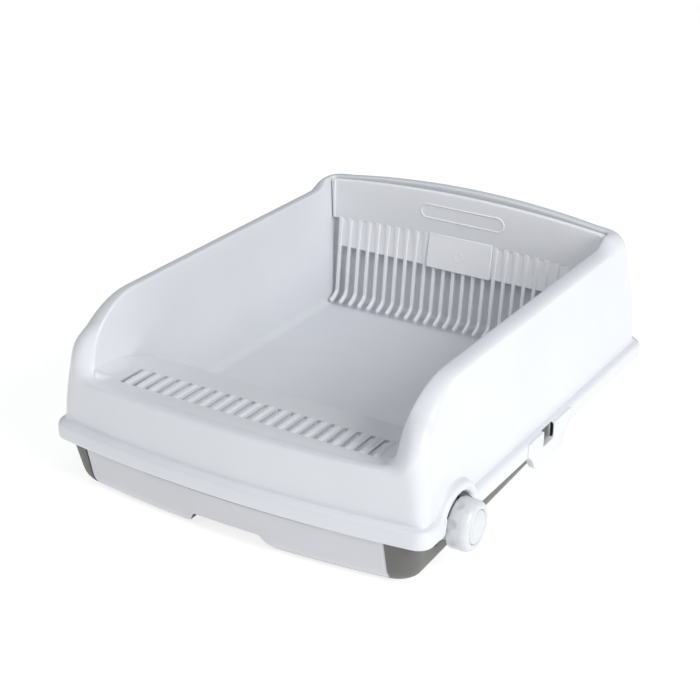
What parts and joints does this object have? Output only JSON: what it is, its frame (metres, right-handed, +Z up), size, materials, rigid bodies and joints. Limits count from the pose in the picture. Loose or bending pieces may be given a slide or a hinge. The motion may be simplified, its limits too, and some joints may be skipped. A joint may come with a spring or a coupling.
{
  "type": "cat litter box",
  "caption": "High-sided open-top cat litter box with low front step, rear comb rake, pull-out waste drawer and a side knob that opens a floor flap.",
  "frame": {"origin": "centre of the bounding box on the floor; the tub's own middle plane is 9.75 mm to the -X side, because the knob stands out at +X", "axes": "+Z up, -Y to the low front and the drawer, +X to the knob side"},
  "size_m": [0.4626, 0.56, 0.2225],
  "materials": {
    "taupe_plastic": "fine satin texture",
    "white_shell": "semi-gloss moulded",
    "white_step": "satin",
    "white_rake": "satin",
    "grey_tray": "satin",
    "white_drawer": "semi-gloss moulded",
    "grey_flap": "satin",
    "white_knob": "semi-gloss moulded",
    "white_cap": "semi-gloss moulded",
    "nylon": "smooth",
    "steel": "plated",
    "rubber_feet": "matt"
  },
  "bodies": {
    "base": {"base_pan": "taupe_plastic", "bush_left": "nylon", "bush_right": "nylon", "foot_front_left": "rubber_feet", "foot_front_right": "rubber_feet", "foot_rear_left": "rubber_feet", "foot_rear_right": "rubber_feet"},
    "tub": {"tub": "white_shell", "entry_step": "white_step"},
    "rake": {"rake": "white_rake"},
    "drawer": {"waste_tray": "grey_tray", "drawer_front": "white_drawer"},
    "knob": {"knob": "white_knob", "knob_cap": "white_cap", "knob_screw": "steel", "knob_shaft": "nylon", "shaft_clip": "steel", "chute_flap": "grey_flap"}
  },
  "joints": [
    {"name": "tub_lift", "type": "slide", "parent": "base", "child": "tub", "axis": [0, 0, 1], "range_m": [0, 0.15]},
    {"name": "rake_slide", "type": "slide", "parent": "tub", "child": "rake", "axis": [0, -1, 0], "range_m": [0, 0.335]},
    {"name": "drawer_slide", "type": "slide", "parent": "base", "child": "drawer", "axis": [0, -1, 0], "range_m": [0, 0.14]},
    {"name": "knob_turn", "type": "hinge", "parent": "base", "child": "knob", "pos_m": [0, -0.195, 0.054], "axis": [-1, 0, 0], "range_deg": [0, 65]}
  ]
}
